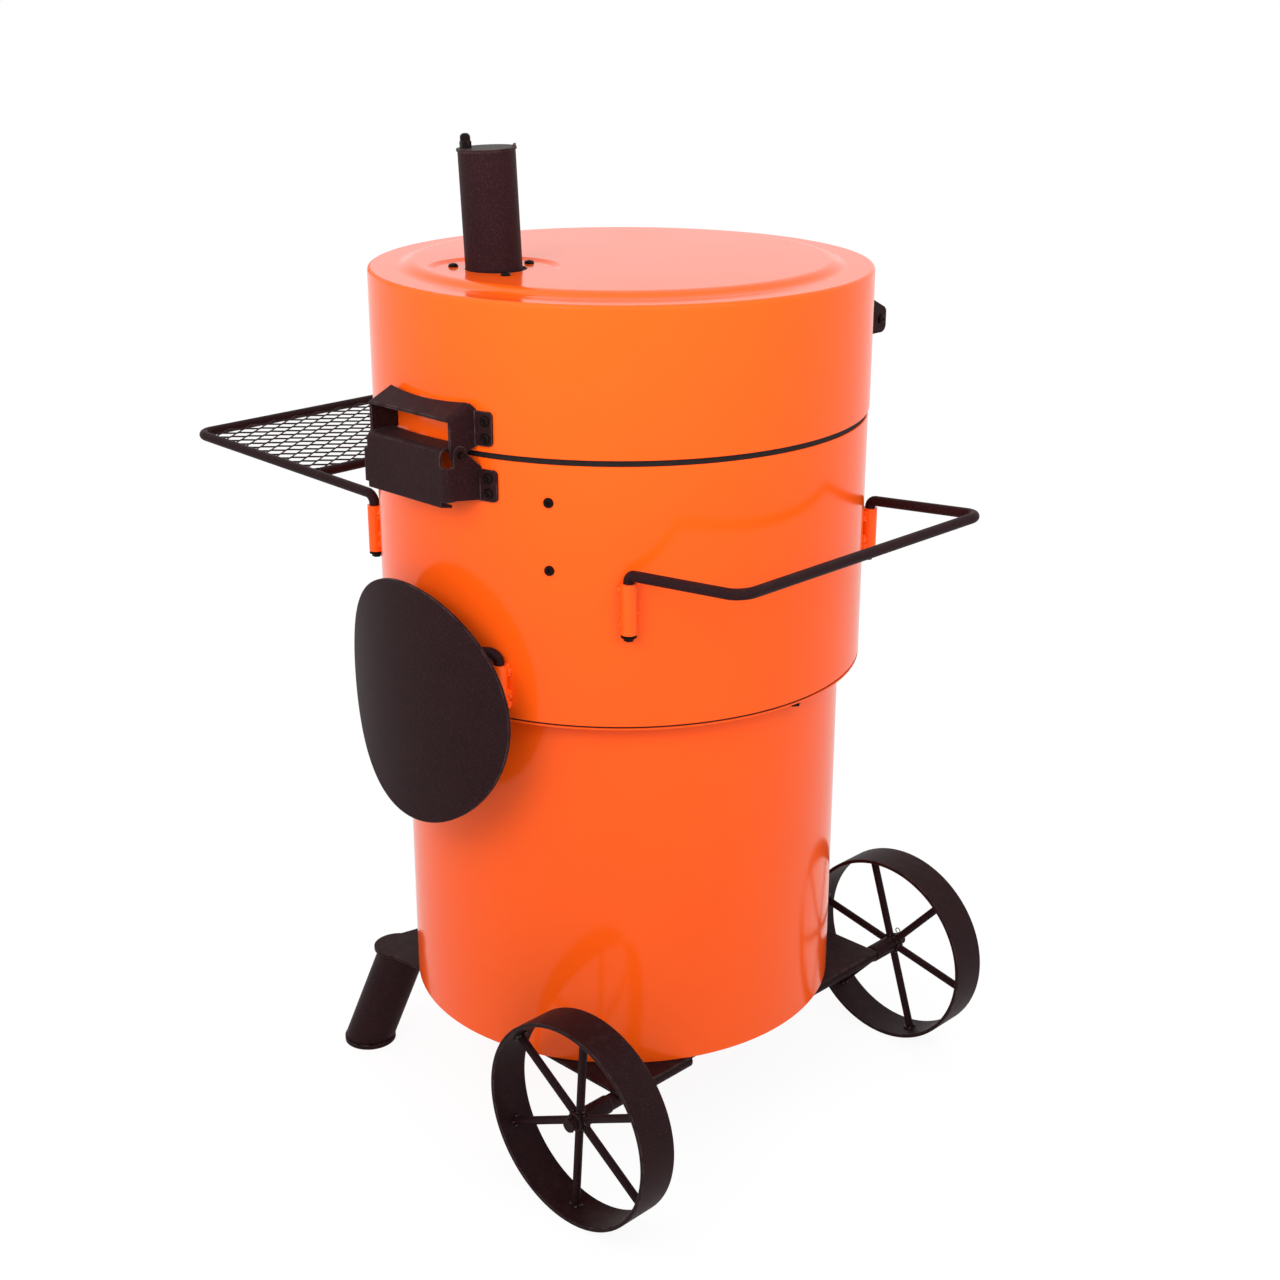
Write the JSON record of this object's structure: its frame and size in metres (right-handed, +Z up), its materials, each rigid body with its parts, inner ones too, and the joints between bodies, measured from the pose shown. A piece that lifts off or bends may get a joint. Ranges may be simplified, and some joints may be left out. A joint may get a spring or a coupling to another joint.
{
  "type": "drum smoker",
  "caption": "Vertical steel drum smoker with a hinged lid, leaning chimney, mesh side shelf, push bar, round shield plate, spoked wheels and splayed feet.",
  "frame": {"origin": "middle of the whole part's box, on the ground", "axes": "+Z up, -Y towards the lid handle, +Y towards the lid hinge, +X towards the shelf, -X towards the wheels"},
  "size_m": [0.9624, 0.6876, 1.1682],
  "materials": {
    "orange_enamel": "gloss",
    "black_coat": "satin",
    "fastener_black": "satin",
    "grate_steel": "satin",
    "seal": "matte"
  },
  "bodies": {
    "stand": {"lower_drum": "orange_enamel", "drum_floor": "orange_enamel", "lower_lip": "orange_enamel", "step_gasket": "seal", "step_flange": "orange_enamel", "upper_drum": "orange_enamel", "lid_gasket": "seal", "flange_bolts": "fastener_black", "hinge_lower_bracket": "black_coat", "hinge_pins": "fastener_black", "shelf_sockets": "orange_enamel", "bar_sockets": "orange_enamel", "shield_socket": "orange_enamel", "shelf_frame": "black_coat", "shelf_crossbar": "black_coat", "shelf_mesh": "black_coat", "push_bar": "black_coat", "grate_brackets": "grate_steel", "lower_grate": "grate_steel", "upper_grate": "grate_steel", "basket_hoops": "grate_steel", "basket_bars": "grate_steel", "basket_grate": "grate_steel", "axle_plate": "black_coat", "stub_axles": "black_coat", "foot_tubes": "black_coat", "foot_plates": "black_coat", "foot_pads": "black_coat"},
    "lid": {"lid_band": "orange_enamel", "lid_top": "orange_enamel", "hinge_upper_bracket": "black_coat", "handle_brackets": "black_coat", "handle_grip": "black_coat", "chimney_pipe": "black_coat", "chimney_flange": "black_coat", "cap_pivot": "fastener_black"},
    "cap": {"chimney_cap": "black_coat"},
    "shield": {"shield_plate": "black_coat", "shield_rod": "black_coat"},
    "back_wheel": {"back_wheel_rim": "black_coat", "back_wheel_spokes": "black_coat", "back_wheel_hub": "black_coat"},
    "front_wheel": {"front_wheel_rim": "black_coat", "front_wheel_spokes": "black_coat", "front_wheel_hub": "black_coat"}
  },
  "joints": [
    {"name": "lid_hinge", "type": "hinge", "parent": "stand", "child": "lid", "pos_m": [-0.10625, 0.3204, 0.8628], "axis": [-1, 0, 0], "range_deg": [0, 95]},
    {"name": "cap_turn", "type": "hinge", "parent": "lid", "child": "cap", "pos_m": [-0.04647, 0.18395, 1.02341], "axis": [0.0287, 0.0281, 0.9992], "range_deg": [0, 110]},
    {"name": "shield_swing", "type": "hinge", "parent": "stand", "child": "shield", "pos_m": [-0.1981, 0.29395, 0.606], "axis": [0, 0, 1], "range_deg": [0, 50]},
    {"name": "back_wheel_spin", "type": "hinge", "parent": "stand", "child": "back_wheel", "pos_m": [-0.32295, 0.3, 0.1226], "axis": [0, 1, 0], "continuous": true},
    {"name": "front_wheel_spin", "type": "hinge", "parent": "stand", "child": "front_wheel", "pos_m": [-0.32295, -0.2692, 0.1226], "axis": [0, 1, 0], "continuous": true}
  ]
}
